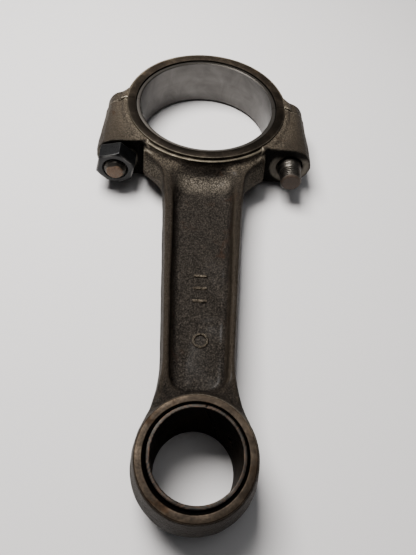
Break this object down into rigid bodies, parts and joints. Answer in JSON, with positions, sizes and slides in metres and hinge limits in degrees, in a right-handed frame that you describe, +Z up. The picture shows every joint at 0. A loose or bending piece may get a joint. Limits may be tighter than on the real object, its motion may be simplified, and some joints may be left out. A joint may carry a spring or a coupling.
{
  "type": "connecting rod",
  "caption": "Forged I-beam connecting rod with a bolted big-end cap, bearing shells and a small-end bush.",
  "frame": {"origin": "under the middle of the rod lying flat, on the surface that it lies on", "axes": "+X across the rod, towards the bolt without a nut; +Y along the rod, from the small end to the cap; +Z up, along both bores"},
  "size_m": [0.0804, 0.18, 0.0227],
  "materials": {
    "forged_steel": "dark oil-stained forging, machined faces satin",
    "bearing_lining": "grey satin bearing metal on a steel back",
    "bush_bronze": "dull bronze, polished at the rim",
    "bolt_steel": "dark bolt steel with brown rust on the ends",
    "nut_black": "black oxide, oily"
  },
  "bodies": {
    "rod": {"rod_body": "forged_steel", "big_end_shell_rod_side": "bearing_lining", "small_end_bush": "bush_bronze"},
    "cap": {"big_end_cap": "forged_steel", "big_end_shell_cap_side": "bearing_lining"},
    "bolt_left": {"rod_bolt_left": "bolt_steel"},
    "bolt_right": {"rod_bolt_right": "bolt_steel"},
    "nut_left": {"rod_nut_left": "nut_black"}
  },
  "joints": [
    {"name": "cap_draw", "type": "slide", "parent": "rod", "child": "cap", "axis": [0, 1, 0], "range_m": [0, 0.05]},
    {"name": "bolt_left_draw", "type": "slide", "parent": "cap", "child": "bolt_left", "axis": [0, 1, 0], "range_m": [0, 0.045]},
    {"name": "bolt_right_draw", "type": "slide", "parent": "cap", "child": "bolt_right", "axis": [0, 1, 0], "range_m": [0, 0.045]},
    {"name": "nut_left_run", "type": "slide", "parent": "rod", "child": "nut_left", "axis": [0, -1, 0], "range_m": [0, 0.012]}
  ]
}
